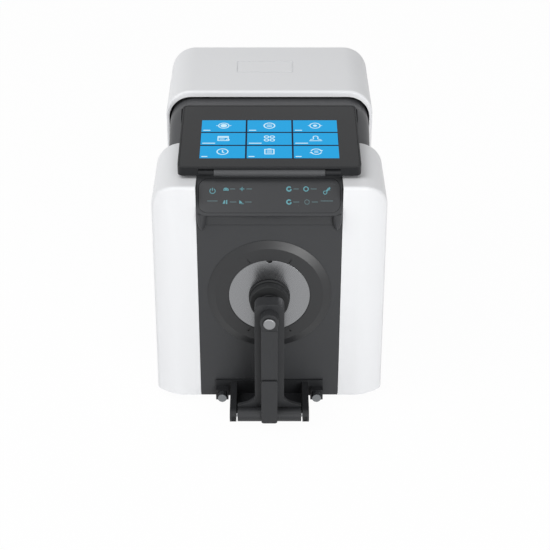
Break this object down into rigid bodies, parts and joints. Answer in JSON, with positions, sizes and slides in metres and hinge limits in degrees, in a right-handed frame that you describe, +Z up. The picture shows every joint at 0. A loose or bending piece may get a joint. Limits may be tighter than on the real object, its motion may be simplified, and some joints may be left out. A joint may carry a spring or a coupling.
{
  "type": "benchtop spectrophotometer",
  "caption": "Benchtop colour spectrophotometer with a hinged, sprung sample clamp over a measuring port, a tilting display and a hood that slides back over a sample well.",
  "frame": {"origin": "on the bench, under the middle of the bounding box", "axes": "+X to the instrument's right as one faces its front, +Y from the front to the back, +Z up; the measuring port and the clamp face -Y"},
  "size_m": [0.254, 0.3702, 0.3065],
  "materials": {
    "white_abs": "moulded, satin gloss",
    "dark_abs": "moulded, fine satin",
    "gloss_black": "polished",
    "screen_glass": "polished",
    "grey_plate": "satin",
    "sphere_white": "spun shell with a matt white coating",
    "sheet_steel": "pressed sheet, matt",
    "bright_aluminium": "extruded, satin",
    "black_plastic": "moulded",
    "turned_steel": "turned, bright",
    "painted_casting": "die-cast, painted dark, satin",
    "circuit_board": "solder mask",
    "black_rubber": "moulded, matt"
  },
  "bodies": {
    "base": {"front_shell": "white_abs", "front_panel": "dark_abs", "control_console": "dark_abs", "touch_plate": "gloss_black", "port_ring": "dark_abs", "sphere_front": "sphere_white", "sphere_rear": "sphere_white", "sphere_stand": "sheet_steel", "lamp_module": "bright_aluminium", "light_tube": "black_plastic", "inner_housing": "dark_abs", "sample_well": "dark_abs", "display_bumper_left": "black_rubber", "display_bumper_right": "black_rubber", "well_window_front": "screen_glass", "well_window_rear": "screen_glass", "cuvette_holder": "painted_casting", "display_hinge_bar": "grey_plate", "base_tray": "sheet_steel", "foot_front_left": "black_rubber", "foot_front_right": "black_rubber", "foot_rear_left": "black_rubber", "foot_rear_right": "black_rubber", "rear_panel": "dark_abs", "power_inlet": "black_plastic", "switch_frame": "black_plastic", "data_socket": "turned_steel", "spectrometer_body": "painted_casting", "spectrometer_lid": "painted_casting", "power_supply": "bright_aluminium", "main_board": "circuit_board", "clamp_bracket": "painted_casting", "clamp_pin": "turned_steel"},
    "arm": {"clamp_arm": "painted_casting", "arm_bar": "painted_casting", "hinge_cover": "painted_casting"},
    "pad": {"sample_pad": "black_rubber", "plunger": "turned_steel", "plunger_button": "grey_plate"},
    "aperture": {"aperture_plate": "grey_plate"},
    "screw_left": {"thumbscrew_left": "turned_steel"},
    "screw_right": {"thumbscrew_right": "turned_steel"},
    "display": {"display_case": "dark_abs", "display_glass": "screen_glass", "display_panel": "gloss_black"},
    "hood": {"hood": "white_abs", "hood_runner_left": "black_plastic", "hood_runner_right": "black_plastic"},
    "rocker": {"rocker_switch": "black_plastic"}
  },
  "joints": [
    {"name": "clamp_hinge", "type": "hinge", "parent": "base", "child": "arm", "pos_m": [0, -0.1751, 0.017], "axis": [1, 0, 0], "range_deg": [0, 90], "stiffness_Nm_per_rad": 0.3, "springref_deg": -34.38},
    {"name": "pad_slide", "type": "slide", "parent": "arm", "child": "pad", "axis": [0, -1, 0], "range_m": [0, 0.005], "stiffness_N_per_m": 800, "springref_m": -0.002},
    {"name": "aperture_twist", "type": "hinge", "parent": "base", "child": "aperture", "pos_m": [0, -0.127, 0.142], "axis": [0, -1, 0], "range_deg": [0, 30]},
    {"name": "thumbscrew_left_turn", "type": "hinge", "parent": "base", "child": "screw_left", "pos_m": [-0.0527, -0.135, 0.017], "axis": [0, -1, 0], "continuous": true},
    {"name": "thumbscrew_right_turn", "type": "hinge", "parent": "base", "child": "screw_right", "pos_m": [0.0527, -0.135, 0.017], "axis": [0, -1, 0], "continuous": true},
    {"name": "display_tilt", "type": "hinge", "parent": "base", "child": "display", "pos_m": [0, -0.1031, 0.2787], "axis": [1, 0, 0], "range_deg": [0, 75]},
    {"name": "hood_slide", "type": "slide", "parent": "base", "child": "hood", "axis": [0, 1, 0], "range_m": [0, 0.07]},
    {"name": "rocker_turn", "type": "hinge", "parent": "base", "child": "rocker", "pos_m": [-0.018, 0.1747, 0.044], "axis": [1, 0, 0], "range_deg": [0, 18]}
  ]
}
